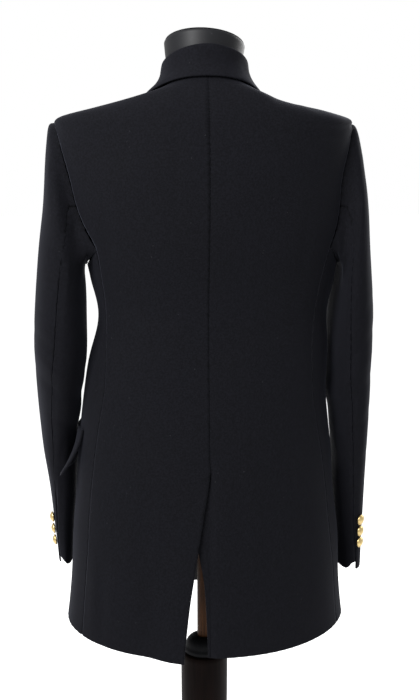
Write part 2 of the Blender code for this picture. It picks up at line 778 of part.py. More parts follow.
def sleeve_angles(piece, k, rings):
    """The angles round the arm of one section's points. At the armhole they meet the body's rows."""
    high = [z for z in ROW_LEVELS if 0.610 <= z <= 0.7215]
    foot = spread(58.0, 119.0, SIDE_COLUMNS)
    under = [p for p in ARMHOLE if 130 <= p.arm <= 230]
    if piece == "upper":
        start = [arm_at(z, True) - 360 for z in high]
        start = [FORE_DEG - 360] + start + [arm_at(z, False) for z in high[-2::-1]]
    else:
        start = [arm_at(0.610, False), arm_at(0.580, False)]
        start += [through([(p.body, p.arm) for p in under], deg) for deg in foot]
        start += [arm_at(0.580, True), FORE_DEG]
    hind = rings[max(0, k - 1)].hind_deg
    if piece == "upper":
        even = spread(FORE_DEG - 360, hind, len(start) - 1)
    else:
        even = spread(hind, FORE_DEG, len(start) - 1)
    share = ease(0, 4, k)
    angles = [a + (b - a) * share for a, b in zip(start, even)]
    first, last = (angles[i] + seam_step(rings, k, angles[i]) * way for i, way in ((0, 1), (-1, -1)))
    return [first] + angles[1:-1] + [last]


def make_sleeve(side, material):
    """A two-piece sleeve: the upper piece outside, the under piece next to the body."""
    rings = sleeve_rings(side)
    word = "left" if side > 0 else "right"
    last = len(rings)
    notch_end = 80.0 if side > 0 else 44.0
    made = []
    for piece in ("upper", "under"):
        grid = []
        for k in range(len(rings) + 1):
            angles = sleeve_angles(piece, k, rings)
            if piece == "under":
                seam = angles[0]
                dip = seam + min(10.0, 0.6 * (angles[1] - seam))
                angles = [seam - 9.0, seam - 3.0, seam, dip] + angles[1:]
            else:
                seam = angles[0] - 90.0
            points = []
            for a in angles:
                sink = CUFF_VENT_SINK * (1 - ease(1.0, 10.0, a - seam)) * ease(last - 4, last - 3, k)
                point = sleeve_inner_point(rings, k, a, side, sink)
                if k == last and piece == "under":
                    point.z += CUFF_NOTCH * (1 - ease(6.0, notch_end, a - seam))
                points.append(point)
            grid.append(points)
        keep = (lambda r, c: c >= 2 or r >= last - 3) if piece == "under" else None
        name = f"sleeve_{word}_{piece}"
        made.append(make_sheet(name, grid, material, CLOTH, flip=side > 0, keep=keep))
    return made


def make_flap(side, material):
    """A pocket flap. The wearer's left one stands off at its rear corner."""
    rear, fore = (72.0, 138.0) if side > 0 else (97.0, 140.0)
    stand_off = 0.0280 if side > 0 else 0.0012
    grid = []
    for v in spread(0.0, 1.0, 5):
        points = []
        for u in spread(0.0, 1.0, 8):
            deg = rear + (fore - rear) * u
            depth = 0.056 if side < 0 else 0.056 + 0.009 * (1 - ease(0.0, 0.35, u))
            row = row_at(FLAP_TOP - depth * v)
            away = stand_off * v ** 1.8 * (1 - ease(0.0, 0.32, u))
            away += 0.0006 * v
            points.append(body_point(deg * side, row, CLOTH + FLAP_GAP + away))
        grid.append(points)
    name = "flap_left" if side > 0 else "flap_right"
    return make_sheet(name, grid, material, CLOTH, flip=side < 0)


def button_profile(diameter, height):
    """A domed metal button with a raised rim, over a short shank."""
    r = diameter / 2
    shank = 0.30 * height
    return [
        (0.0, height),
        (0.42 * r, 0.95 * height),
        (0.74 * r, 0.77 * height),
        (0.84 * r, 0.74 * height),
        (0.94 * r, 0.80 * height),
        (r, 0.64 * height),
        (0.92 * r, shank),
        (0.28 * r, shank),
        (0.28 * r, 0.0),
        (0.0, 0.0),
    ]


def place_on(obj, point, normal, up=Vector((0.0, 0.0, 1.0))):
    """Stands an object with its Z along a surface's normal, at a point of that surface."""
    across = up.cross(normal).normalized()
    frame = Matrix((across, normal.cross(across), normal)).transposed().to_4x4()
    obj.matrix_world = Matrix.Translation(point) @ frame


def make_cuff_buttons(side, material):
    """Three buttons up the outside of one cuff, beside the hind seam."""
    rings = sleeve_rings(side)
    word = "left" if side > 0 else "right"
    theta, first_z = (33.0, 0.1550) if side > 0 else (69.0, 0.1540)
    made = []
    for n in range(3):
        want = HEM_Z + first_z - CUFF_BUTTON_PITCH * n
        low = max(k for k in range(len(rings) + 1) if sleeve_point(rings, k, theta, side).z >= want)
        a, b = (sleeve_point(rings, low + i, theta, side) for i in (0, 1))
        share = (a.z - want) / (a.z - b.z)
        point = a.lerp(b, share)
        ahead = sleeve_point(rings, low, theta + 4, side)
        behind = sleeve_point(rings, low, theta - 4, side)
        normal = (b - a).cross(ahead - behind).normalized() * side
        profile = button_profile(CUFF_BUTTON_D, CUFF_BUTTON_H)
        button = make_turned(f"cuff_button_{word}_{n + 1}", profile, material, 14)
        place_on(button, point + normal * 0.0004, normal)
        made.append(button)
    return made


def make_front_buttons(material):
    """Two buttons that fasten the right front over the left one."""
    made = []
    for n, z in enumerate((0.392, 0.282)):
        row = row_at(z)
        normal = outer_normal(180, row)
        point = body_point(180, row, CLOTH + REST_GAP)
        profile = button_profile(FRONT_BUTTON_D, FRONT_BUTTON_H)
        button = make_turned(f"front_button_{n + 1}", profile, material, 16)
        place_on(button, point, normal)
        made.append(button)
    return made


def form_line(z, half_width, back_y, front_y, power=2.3):
    """A level section of the form."""
    line = []
    for i in range(FORM_COLUMNS):
        angle = 2 * math.pi * i / FORM_COLUMNS
        across, along = math.sin(angle), math.cos(angle)
        reach = back_y if along > 0 else -front_y
        x = half_width * signed_power(across, 2 / power)
        y = reach * signed_power(along, 2 / power)
        line.append(Vector((x, y, HEM_Z + z)))
    return line


def make_form(material):
    """The limbless torso that fills the shoulders, closed below, with a slanting neck end."""
    lines = [form_line(r.z, r.half_width, r.back_y, r.front_y) for r in FORM_RINGS]
    for row, ease_in in FORM_SHOULDERS:
        degs = [360 * i / FORM_COLUMNS for i in range(FORM_COLUMNS)]
        lines.append([body_point(deg, row, -ease_in) for deg in degs])
    for drop, radius, forward in FORM_NECK:
        line = []
        for i in range(FORM_COLUMNS):
            angle = 2 * math.pi * i / FORM_COLUMNS
            across, along = radius * math.sin(angle), radius * math.cos(angle)
            point = neck_point(across, along, -NECK_CAP_THICK - REST_GAP)
            line.append(point - Vector((0.0, forward, drop)))
        lines.append(line)
    mesh = bpy.data.meshes.new("form_torso")
    bm = bmesh.new()
    rings = [[bm.verts.new(p) for p in line] for line in lines]
    for low, high in zip(rings, rings[1:]):
        for i in range(FORM_COLUMNS):
            j = (i + 1) % FORM_COLUMNS
            bm.faces.new((low[j], low[i], high[i], high[j]))
    bm.faces.new(rings[0])
    bm.faces.new(rings[-1][::-1])
    bmesh.ops.recalc_face_normals(bm, faces=bm.faces)
    for face in bm.faces:
        face.smooth = len(face.verts) == 4
    bm.to_mesh(mesh)
    bm.free()
    obj = bpy.data.objects.new("form_torso", mesh)
    finish(obj, material)
    return obj


def neck_point(x, y, along):
    """A point in the neck's own slanting frame, from the middle of the cap's top."""
    turn = (Matrix.Rotation(NECK_ROLL, 4, "Y") @ Matrix.Rotation(NECK_TILT, 4, "X")).to_3x3()
    return Vector((0.0, NECK_CAP_Y, HEM_Z + NECK_CAP_TOP)) + turn @ Vector((x, y, along))


def make_neck_cap(material):
    """The glossy cap on the slanting end of the neck."""
    r, t = NECK_CAP_R, NECK_CAP_THICK
    profile = [(0.0, 0.0), (0.88 * r, -0.0005), (r - 0.0018, -0.0016), (r, -0.0040),
               (r - 0.0032, -t + 0.0010), (r - 0.0042, -t), (0.0, -t)]
    cap = make_turned("form_neck_cap", profile, material, 32)
    turn = Matrix.Rotation(NECK_ROLL, 4, "Y") @ Matrix.Rotation(NECK_TILT, 4, "X")
    cap.matrix_world = Matrix.Translation((0.0, NECK_CAP_Y, HEM_Z + NECK_CAP_TOP)) @ turn
    return cap


def make_stand(black, pole_wood, post_wood):
    """The pole under the form, and the post, cap and round base that hold it."""
    pole_top = HEM_Z + FORM_BOTTOM - REST_GAP
    pole = make_turned("stand_pole", [
        (0.0, pole_top), (POLE_R, pole_top), (POLE_R, POLE_BOTTOM_Z + 0.001),
        (POLE_R - 0.001, POLE_BOTTOM_Z), (0.0, POLE_BOTTOM_Z)], pole_wood, 20)
    low = COLUMN_TOP_Z + REST_GAP
    cap_r, cap_h = STAND_CAP_R, STAND_CAP_H
    cap = make_turned("stand_cap", [
        (BORE_R, low), (BORE_R, low + cap_h), (0.0150, low + cap_h), (0.0215, low + 0.86 * cap_h),
        (0.0262, low + 0.62 * cap_h), (0.0284, low + 0.36 * cap_h), (cap_r, low + 0.20 * cap_h),
        (cap_r, low), (BORE_R, low)], black, 24)
    r, top, foot = COLUMN_R, COLUMN_TOP_Z, BASE_H + REST_GAP
    column = make_turned("stand_column", [
        (0.0, BORE_BOTTOM_Z), (BORE_R, BORE_BOTTOM_Z), (BORE_R, top), (r - 0.0020, top),
        (r, top - 0.0020), (r, 0.5200), (r - 0.0010, 0.3000), (r - 0.0010, 0.0900),
        (r + 0.0020, 0.0600), (r + 0.0110, 0.0420), (r + 0.0130, 0.0340), (r + 0.0120, foot),
        (0.0, foot)], post_wood, 24)
    base = make_turned("stand_base", [
        (0.0, BASE_H), (0.060, BASE_H), (0.120, 0.0270), (0.172, 0.0200), (0.186, 0.0140),
        (BASE_R, 0.0080), (BASE_R, 0.0020), (BASE_R - 0.002, 0.0), (0.0, 0.0)], post_wood, 32)
    return pole, cap, column, base


def make_empty(name):
    """A parent on the pole's axis."""
    empty = bpy.data.objects.new(name, None)
    empty.empty_display_size = 0.1
    PARTS.objects.link(empty)
    return empty


def main():
    """Builds the blazer, its form and its stand."""
    cloth = make_material("Black suiting", (0.0125, 0.0125, 0.0165), 0.86)
    under = make_material("Black suiting, collar", (0.0150, 0.0150, 0.0190), 0.84)
    gold = make_material("Gold metal", (0.66, 0.50, 0.24), 0.28, 1.0)
    covering = make_material("Black form covering", (0.012, 0.012, 0.013), 0.80)
    gloss = make_material("Black gloss plastic", (0.012, 0.012, 0.013), 0.22)
    pole_wood = make_material("Brown wood", (0.070, 0.032, 0.014), 0.45)
    post_wood = make_material("Dark turned wood", (0.014, 0.010, 0.009), 0.35)

    form = make_empty("form")
    stand = make_empty("stand")
    worn = []
    for side in (1, -1):
        worn.append(make_back(side, cloth))
        worn.append(make_side(side, cloth))
        worn.append(make_front(side, cloth))
        worn.append(make_lapel(side, under))
        worn.append(make_flap(side, cloth))
        worn += make_sleeve(side, cloth)
        worn += make_cuff_buttons(side, gold)
    worn.append(make_collar(under))
    worn += make_front_buttons(gold)
    worn.append(make_form(covering))
    worn.append(make_neck_cap(gloss))
    pole, cap, column, base = make_stand(gloss, pole_wood, post_wood)
    for obj in worn + [pole]:
        obj.parent = form
    for obj in (cap, column, base):
        obj.parent = stand


for old in list(bpy.data.objects):
    bpy.data.objects.remove(old, do_unlink=True)
PARTS = bpy.data.collections.new("Blazer on a dress form")
bpy.context.scene.collection.children.link(PARTS)
main()
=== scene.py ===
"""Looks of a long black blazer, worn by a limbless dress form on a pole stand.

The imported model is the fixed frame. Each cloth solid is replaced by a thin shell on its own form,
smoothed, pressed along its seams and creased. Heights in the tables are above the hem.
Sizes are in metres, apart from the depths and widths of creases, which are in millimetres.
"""

from __future__ import annotations

import json
import logging
import math
from dataclasses import dataclass, field
from enum import Enum

import bmesh
import bpy
import numpy as np
from mathutils import Matrix, Vector
from mathutils.bvhtree import BVHTree
from mathutils.kdtree import KDTree

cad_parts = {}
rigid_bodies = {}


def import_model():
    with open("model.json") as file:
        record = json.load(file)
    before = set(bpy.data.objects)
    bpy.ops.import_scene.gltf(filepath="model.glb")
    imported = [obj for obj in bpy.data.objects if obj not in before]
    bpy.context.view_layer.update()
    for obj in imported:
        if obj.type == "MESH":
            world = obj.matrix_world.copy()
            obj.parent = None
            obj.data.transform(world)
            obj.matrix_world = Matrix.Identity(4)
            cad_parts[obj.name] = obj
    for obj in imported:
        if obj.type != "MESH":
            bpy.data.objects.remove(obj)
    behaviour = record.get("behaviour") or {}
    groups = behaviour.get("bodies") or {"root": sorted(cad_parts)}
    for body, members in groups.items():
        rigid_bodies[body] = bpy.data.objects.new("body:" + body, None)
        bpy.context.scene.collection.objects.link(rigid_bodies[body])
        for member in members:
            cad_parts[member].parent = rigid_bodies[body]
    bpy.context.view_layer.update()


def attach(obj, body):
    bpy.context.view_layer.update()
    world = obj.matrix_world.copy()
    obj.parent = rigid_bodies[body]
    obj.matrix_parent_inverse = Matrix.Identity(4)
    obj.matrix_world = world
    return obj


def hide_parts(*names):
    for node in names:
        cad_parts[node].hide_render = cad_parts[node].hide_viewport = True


LOG = logging.getLogger("blazer")
HEM_Z = 0.640
ARMHOLE_X = 0.140
ARMHOLE_Z = 0.570
# Widths of the shade painted along the seams, wider round the armholes.
PAINTED_SEAM_SHADE_WIDTH = 0.0009
ARMHOLE_PAINTED_SHADE_WIDTH = 0.0021
PRESSED_WIDTH = 0.0042
RIPPLE_DEPTH = 0.00035
SEWN_RIM = 0.0030
DRAWN_SHARE = 0.92
DRAWN_LESS = 0.55
BODY_RADIUS = 0.155
ARM_RADIUS = 0.045


class Side(Enum):
    """From where a crease is seen and laid."""

    BACK = "back"
    FRONT = "front"


class Cut(Enum):
    """How a solid's edges are kept while it is smoothed."""

    SHEET = "sheet"
    HARD = "hard"


class Socket:
    """A shader output that takes part in Python arithmetic."""

    def __init__(self, nodes: "Finisher", link: bpy.types.NodeSocket) -> None:
        """Wraps one output.

        Args:
            nodes: the material's node maker.
            link: the output socket.
        """
        self.nodes = nodes
        self.link = link

    def _math(self, operation: str, first: object, second: object) -> "Socket":
        """Adds one Math node.

        Args:
            operation: the node's operation.
            first: its first value or socket.
            second: its second value or socket.

        Returns:
            The node's output.
        """
        return self.nodes.add("ShaderNodeMath", {"operation": operation}, {0: first, 1: second})

    def __add__(self, other: object) -> "Socket":
        """Sum."""
        return self._math("ADD", self, other)

    def __radd__(self, other: object) -> "Socket":
        """Sum, reflected."""
        return self._math("ADD", other, self)

    def __sub__(self, other: object) -> "Socket":
        """Difference."""
        return self._math("SUBTRACT", self, other)

    def __rsub__(self, other: object) -> "Socket":
        """Difference, reflected."""
        return self._math("SUBTRACT", other, self)

    def __mul__(self, other: object) -> "Socket":
        """Product."""
        return self._math("MULTIPLY", self, other)

    def __rmul__(self, other: object) -> "Socket":
        """Product, reflected."""
        return self._math("MULTIPLY", other, self)

    def __gt__(self, other: object) -> "Socket":
        """1 where this is above the other."""
        return self._math("GREATER_THAN", self, other)


class Finisher:
    """Makes the nodes of one material."""

    def __init__(self, name: str) -> None:
        """Starts a material with one Principled shader.

        Args:
            name: the material's name.
        """
        self.material = bpy.data.materials.new(name)
        self.material.use_nodes = True
        self.tree = self.material.node_tree
        self.shader = self.tree.nodes["Principled BSDF"]

    def add(self, kind: str, settings: dict, values: dict, out: object = 0) -> Socket:
        """Adds one node.

        Args:
            kind: the node's type.
            settings: properties, set before the sockets; a ramp's stops under "stops".
            values: numbers, colours or sockets by input name or number.
            out: the output that is wanted.

        Returns:
            That output.
        """
        node = self.tree.nodes.new(kind)
        for name, value in settings.items():
            if name == "stops":
                self._stops(node.color_ramp, value)
            else:
                setattr(node, name, value)
        for name, value in values.items():
            if isinstance(value, Socket):
                self.tree.links.new(value.link, node.inputs[name])
            else:
                node.inputs[name].default_value = value
        return Socket(self, node.outputs[out])

    def _stops(self, ramp: bpy.types.ColorRamp, stops: list) -> None:
        """Sets a ramp's stops.

        Args:
            ramp: the ramp.
            stops: (place, grey or colour) pairs.
        """
        while len(ramp.elements) < len(stops):
            ramp.elements.new(0.5)
        for element, (place, tone) in zip(ramp.elements, stops):
            element.position = place
            element.color = (tone, tone, tone, 1.0) if isinstance(tone, float) else (*tone, 1.0)

    def place(self) -> Socket:
        """The point on the object, in metres."""
        return self.add("ShaderNodeTexCoord", {}, {}, "Object")

    def weave_place(self) -> Socket:
        """The point on the cloth, from the piece's own attribute."""
        return self.add("ShaderNodeAttribute", {"attribute_name": "weave"}, {}, "Vector")

    def noise(self, at: Socket, scale: float, detail: float = 2.0) -> Socket:
        """Soft noise.

        Args:
            at: the coordinates.
            scale: waves in a metre, about.
            detail: finer octaves.

        Returns:
            A value round 0.5.
        """
        return self.add(
            "ShaderNodeTexNoise", {}, {"Vector": at, "Scale": scale, "Detail": detail}, 0
        )

    def stretch(self, at: Socket, scale: tuple[float, float, float]) -> Socket:
        """Scales coordinates.

        Args:
            at: the coordinates.
            scale: the factors.

        Returns:
            The scaled coordinates.
        """
        return self.add("ShaderNodeMapping", {}, {"Vector": at, "Scale": scale})

    def mix(self, share: object, first: object, second: object) -> Socket:
        """Mixes two colours.

        Args:
            share: how much of the second.
            first: a colour or socket.
            second: a colour or socket.

        Returns:
            The mixed colour.
        """
        return self.add(
            "ShaderNodeMix", {"data_type": "RGBA"}, {0: share, 6: first, 7: second}, 2
        )

    def bump(self, height: Socket, distance: float, strength: float = 1.0) -> Socket:
        """Relief.

        Args:
            height: 0 to 1.
            distance: the relief's depth in metres.
            strength: its share.

        Returns:
            The normal.
        """
        return self.add(
            "ShaderNodeBump", {}, {"Height": height, "Distance": distance, "Strength": strength}
        )

    def finish(self, values: dict) -> bpy.types.Material:
        """Sets the shader's sockets.

        Args:
            values: numbers, colours or sockets by input name.

        Returns:
            The material.
        """
        for name, value in values.items():
            if isinstance(value, Socket):
                self.tree.links.new(value.link, self.shader.inputs[name])
            else:
                self.shader.inputs[name].default_value = value
        return self.material


def colour(red: float, green: float, blue: float) -> tuple[float, float, float, float]:
    """An opaque linear colour."""
    return (red, green, blue, 1.0)


@dataclass(frozen=True)
class Suiting:
    """Fine black twill with a blue cast, a soft nap, a few bits of lint and painted shade along its
    seams.
    """

    name: str = "Black suiting"
    # tone scales the cloth's colours; above 1 it paints light into a copy of the cloth.
    tone: float = 1.0
    wale: float = 0.00075

    def make(self) -> bpy.types.Material:
        """The cloth's material."""
        nodes = Finisher(self.name)
        at = nodes.weave_place()
        space = nodes.place()
        wide = nodes.noise(space, 14.0, 3.0)
        nap = nodes.noise(space, 900.0, 1.0)
        twill = nodes.add(
            "ShaderNodeTexWave",
            {"wave_type": "BANDS", "bands_direction": "DIAGONAL", "wave_profile": "SIN"},
            {"Vector": at, "Scale": 0.2 / self.wale, "Distortion": 0.6, "Detail": 1.0},
            1,
        )
        yarn = nodes.noise(nodes.stretch(at, (1.0, 0.25, 1.0)), 1500.0, 1.0)
        fleck = nodes.add(
            "ShaderNodeValToRGB", {"stops": [(0.38, 0.0), (0.64, 1.0)]},
            {"Fac": nodes.noise(space, 430.0, 3.0)},
        )
        shade = 0.04 + wide * 0.34 + nap * 0.14 + fleck * 0.56
        dark = colour(0.0010 * self.tone, 0.0010 * self.tone, 0.0015 * self.tone)
        pale = colour(0.0037 * self.tone, 0.0038 * self.tone, 0.0054 * self.tone)
        cloth = nodes.mix(shade * 0.78 + twill * 0.10, dark, pale)
        fluff = nodes.add(
            "ShaderNodeTexVoronoi", {"feature": "F1"},
            {"Vector": space, "Scale": 150.0, "Randomness": 1.0}, "Distance",
        )
        spread = nodes.noise(space, 31.0, 0.0) > 0.675
        lint = ((0.060 - fluff) * 30.0) * spread
        lint = nodes.add("ShaderNodeClamp", {}, {"Value": lint})
        tint = nodes.mix(lint * 0.42, cloth, colour(0.12, 0.12, 0.13))
        seam = nodes.add("ShaderNodeAttribute", {"attribute_name": "seam"}, {}, "Fac")
        # Painted shade: the cloth is darkened to near black along its seams and edges.
        tint = nodes.mix(seam * 0.84, tint, colour(0.0002, 0.0002, 0.0003))
        relief = twill * 0.5 + yarn * 0.35 + nap * 0.25
        return nodes.finish({
            "Base Color": tint,
            "Roughness": 0.80 + wide * 0.14,
            "Specular IOR Level": 0.052,
            "Sheen Weight": 0.026,
            "Sheen Roughness": 0.45,
            "Sheen Tint": colour(0.72, 0.76, 1.0),
            "Normal": nodes.bump(relief, 0.00012, 0.55),
        })


@dataclass(frozen=True)
class Lining:
    """Black satin lining on the cloth's inner face."""

    name: str = "Black lining"

    def make(self) -> bpy.types.Material:
        """The lining's material."""
        nodes = Finisher(self.name)
        at = nodes.weave_place()
        threads = nodes.noise(nodes.stretch(at, (1.0, 0.1, 1.0)), 2200.0, 1.0)
        soft = nodes.noise(nodes.place(), 22.0, 2.0)
        return nodes.finish({
            "Base Color": nodes.mix(soft, colour(0.0030, 0.0030, 0.0040), colour(0.0065, 0.0065, 0.008)),
            "Roughness": 0.46 + soft * 0.16,
            "Specular IOR Level": 0.16,
            "Normal": nodes.bump(threads + soft, 0.0001, 0.5),
        })


@dataclass(frozen=True)
class Jersey:
    """Black knitted covering of the form."""

    name: str = "Black form covering"

    def make(self) -> bpy.types.Material:
        """The covering's material."""
        nodes = Finisher(self.name)
        at = nodes.place()
        loops = nodes.noise(nodes.stretch(at, (1.0, 1.0, 0.5)), 1300.0, 1.0)
        soft = nodes.noise(at, 18.0, 2.0)
        return nodes.finish({
            "Base Color": nodes.mix(soft, colour(0.0050, 0.0050, 0.0055), colour(0.0100, 0.0100, 0.0110)),
            "Roughness": 0.78 + soft * 0.14,
            "Specular IOR Level": 0.2,
            "Normal": nodes.bump(loops, 0.0002, 0.5),
        })


@dataclass(frozen=True)
class Gloss:
    """Glossy black lacquer with faint wear."""

    name: str = "Black gloss"
    roughness: float = 0.42
    gleam: float = 0.12

    def make(self) -> bpy.types.Material:
        """The lacquer's material."""
        nodes = Finisher(self.name)
        at = nodes.place()
        smear = nodes.noise(at, 34.0, 4.0)
        dust = nodes.noise(at, 700.0, 1.0) > 0.735
        tint = nodes.mix(dust * 0.10, colour(0.0050, 0.0052, 0.0062), colour(0.16, 0.16, 0.17))
        return nodes.finish({
            "Base Color": tint,
            "Roughness": self.roughness + smear * 0.16,
            "Specular IOR Level": self.gleam,
            "Normal": nodes.bump(smear, 0.0003, 0.25),
        })


@dataclass(frozen=True)
class Wood:
    """Wood whose grain runs up the piece."""

    name: str
    dark: tuple[float, float, float]
    pale: tuple[float, float, float]
    roughness: float
    gleam: float

    def make(self) -> bpy.types.Material:
        """The wood's material."""
        nodes = Finisher(self.name)
        at = nodes.place()
        fibre = nodes.noise(nodes.stretch(at, (1.0, 1.0, 0.045)), 420.0, 3.0)
        broad = nodes.noise(nodes.stretch(at, (1.0, 1.0, 0.10)), 60.0, 3.0)
        share = nodes.add(
            "ShaderNodeValToRGB", {"stops": [(0.36, 0.0), (0.66, 1.0)]},
            {"Fac": fibre * 0.55 + broad * 0.45},
        )
        scuff = nodes.noise(at, 26.0, 5.0)
        tint = nodes.mix(share, colour(*self.dark), colour(*self.pale))
        return nodes.finish({
            "Base Color": tint,
            "Roughness": self.roughness + scuff * 0.18 - fibre * 0.06,
            "Specular IOR Level": self.gleam,
            "Normal": nodes.bump(fibre, 0.0003, 0.4),
        })


@dataclass(frozen=True)
class Gold:
    """Gold-coloured button metal with a patchy patina."""

    name: str = "Gold button metal"

    def make(self) -> bpy.types.Material:
        """The metal's material."""
        nodes = Finisher(self.name)
        at = nodes.place()
        patina = nodes.noise(at, 420.0, 3.0)
        fine = nodes.noise(at, 2600.0, 2.0)
        tint = nodes.mix(patina, colour(0.34, 0.24, 0.092), colour(0.66, 0.52, 0.25))
        return nodes.finish({
            "Base Color": tint,
            "Metallic": 1.0,
            "Roughness": 0.20 + patina * 0.22,
            "Normal": nodes.bump(fine, 0.00006, 0.6),
        })


@dataclass(frozen=True)
class Thread:
    """Black sewing silk."""

    name: str = "Black thread"

    def make(self) -> bpy.types.Material:
        """The thread's material."""
        nodes = Finisher(self.name)
        twist = nodes.noise(nodes.place(), 3000.0, 1.0)
        return nodes.finish({
            "Base Color": nodes.mix(
                twist, colour(0.0016, 0.0016, 0.0022), colour(0.0042, 0.0042, 0.0056)
            ),
            "Roughness": 0.70 + twist * 0.2,
            "Specular IOR Level": 0.06,
        })


@dataclass(frozen=True)
class Paint:
    """The plain pale floor."""

    name: str = "Pale floor"

    def make(self) -> bpy.types.Material:
        """The floor's material."""
        nodes = Finisher(self.name)
        return nodes.finish({
            "Base Color": colour(0.93, 0.93, 0.93),
            "Roughness": 0.9,
            "Specular IOR Level": 0.1,
            "Emission Color": colour(1.0, 1.0, 1.0),
            "Emission Strength": 0.10,
        })


@dataclass(frozen=True)
class Crease:
    """A soft trough or ridge through a few (x, z) places, seen from one side."""

    side: Side
    depth: float
    width: float
    path: tuple[tuple[float, float], ...]


def back(depth: float, width: float, *path: tuple[float, float]) -> Crease:
    """A crease on the back, in millimetres; a trough's depth is negative."""
    return Crease(Side.BACK, depth / 1000, width / 1000, path)


def front(depth: float, width: float, *path: tuple[float, float]) -> Crease:
    """A crease on the front, in millimetres; a trough's depth is negative."""
    return Crease(Side.FRONT, depth / 1000, width / 1000, path)


BODY_CREASES = (
    back(-1.5, 6, (-0.061, 0.749), (-0.075, 0.731), (-0.087, 0.712)),
    back(0.9, 6, (-0.072, 0.752), (-0.087, 0.736), (-0.101, 0.715)),
    back(-0.9, 9, (0.136, 0.495), (0.089, 0.466), (0.052, 0.454)),
    back(0.7, 9, (0.134, 0.462), (0.098, 0.440), (0.070, 0.437)),
    back(-0.8, 9, (0.134, 0.432), (0.099, 0.417), (0.066, 0.420)),
    back(-0.9, 9, (-0.136, 0.466), (-0.094, 0.443), (-0.050, 0.441)),
    back(0.6, 8, (-0.138, 0.438), (-0.110, 0.424), (-0.082, 0.425)),
    back(-0.7, 8, (-0.134, 0.415), (-0.100, 0.402), (-0.071, 0.407)),
    back(-1.0, 9, (-0.135, 0.610), (-0.128, 0.554), (-0.124, 0.500)),
    back(-0.8, 8, (0.146, 0.622), (0.135, 0.575), (0.127, 0.532)),
    back(-0.9, 12, (0.081, 0.262), (0.088, 0.158), (0.083, 0.040)),
    back(0.8, 11, (0.036, 0.180), (0.044, 0.083), (0.053, 0.005)),
    back(-1.0, 12, (-0.070, 0.290), (-0.081, 0.167), (-0.079, 0.050)),
    back(-0.7, 9, (-0.124, 0.262), (-0.134, 0.151), (-0.139, 0.060)),
    back(1.0, 7, (0.158, 0.135), (0.162, 0.073), (0.164, 0.020)),
    back(-1.0, 7, (0.145, 0.120), (0.149, 0.060), (0.150, 0.010)),
    back(-0.8, 8, (-0.153, 0.352), (-0.137, 0.334), (-0.120, 0.314)),
    back(-0.5, 7, (0.004, 0.462), (0.016, 0.449), (0.030, 0.443)),
    back(-0.5, 7, (-0.004, 0.424), (-0.017, 0.416), (-0.034, 0.418)),
    back(-0.6, 9, (0.040, 0.700), (0.046, 0.650), (0.043, 0.590)),
    front(-1.1, 9, (0.012, 0.392), (0.060, 0.416), (0.112, 0.446)),
    front(0.7, 8, (0.030, 0.430), (0.075, 0.452), (0.108, 0.478)),
    front(-1.0, 9, (-0.016, 0.395), (-0.066, 0.412), (-0.118, 0.452)),
    front(-0.8, 8, (-0.020, 0.365), (-0.064, 0.352), (-0.104, 0.356)),
    front(-0.7, 9, (0.018, 0.368), (0.052, 0.350), (0.090, 0.346)),
    front(-1.0, 9, (0.140, 0.600), (0.130, 0.552), (0.112, 0.512)),
    front(-0.9, 10, (-0.142, 0.606), (-0.130, 0.560), (-0.116, 0.520)),
    front(-0.9, 12, (0.060, 0.270), (0.066, 0.160), (0.060, 0.040)),
    front(-0.8, 11, (-0.074, 0.275), (-0.070, 0.170), (-0.076, 0.060)),
    front(0.8, 10, (0.118, 0.230), (0.124, 0.130), (0.126, 0.010)),
    front(0.7, 9, (-0.116, 0.240), (-0.128, 0.140), (-0.130, 0.020)),
)
SLEEVE_CREASES = (
    back(-1.5, 7, (0.233, 0.440), (0.200, 0.410), (0.168, 0.378)),
    back(0.9, 6, (0.234, 0.412), (0.205, 0.382), (0.176, 0.362)),
    back(-1.3, 7, (0.235, 0.386), (0.204, 0.353), (0.168, 0.338)),
    back(-1.0, 6, (0.226, 0.473), (0.188, 0.452), (0.160, 0.437)),
    back(-0.9, 6, (0.222, 0.326), (0.205, 0.313), (0.176, 0.290)),
    back(-0.7, 6, (0.218, 0.247), (0.204, 0.234), (0.186, 0.216)),
    back(-0.9, 8, (0.200, 0.668), (0.190, 0.640), (0.179, 0.600)),
    back(-0.6, 7, (0.212, 0.560), (0.196, 0.538), (0.176, 0.526)),
    back(-1.5, 7, (-0.238, 0.442), (-0.207, 0.410), (-0.180, 0.374)),
    back(0.8, 6, (-0.238, 0.410), (-0.208, 0.380), (-0.184, 0.354)),
    back(-1.3, 7, (-0.240, 0.378), (-0.206, 0.346), (-0.176, 0.330)),
    back(-1.0, 6, (-0.238, 0.326), (-0.210, 0.293), (-0.182, 0.280)),
    back(-0.8, 6, (-0.232, 0.484), (-0.212, 0.456), (-0.190, 0.444)),
    back(-0.8, 6, (-0.235, 0.257), (-0.203, 0.231), (-0.186, 0.226)),
    back(-0.9, 8, (-0.218, 0.660), (-0.205, 0.624), (-0.194, 0.588)),
    front(-1.6, 7, (0.236, 0.398), (0.208, 0.412), (0.180, 0.436)),
    front(0.9, 6, (0.232, 0.424), (0.208, 0.434), (0.186, 0.452)),
    front(-1.3, 7, (0.232, 0.440), (0.206, 0.456), (0.184, 0.474)),
    front(-1.1, 7, (0.236, 0.356), (0.212, 0.366), (0.186, 0.384)),
    front(-0.8, 6, (0.230, 0.300), (0.212, 0.310), (0.190, 0.322)),
    front(-0.8, 8, (0.216, 0.640), (0.200, 0.606), (0.190, 0.576)),
    front(-1.5, 7, (-0.238, 0.392), (-0.212, 0.408), (-0.186, 0.432)),
    front(0.8, 6, (-0.238, 0.418), (-0.214, 0.430), (-0.192, 0.446)),
    front(-1.2, 7, (-0.236, 0.436), (-0.210, 0.450), (-0.190, 0.472)),
    front(-1.0, 7, (-0.238, 0.346), (-0.214, 0.358), (-0.190, 0.378)),
    front(-0.7, 6, (-0.236, 0.288), (-0.214, 0.298), (-0.196, 0.306)),
    front(-0.9, 8, (-0.220, 0.636), (-0.206, 0.600), (-0.196, 0.572)),
)


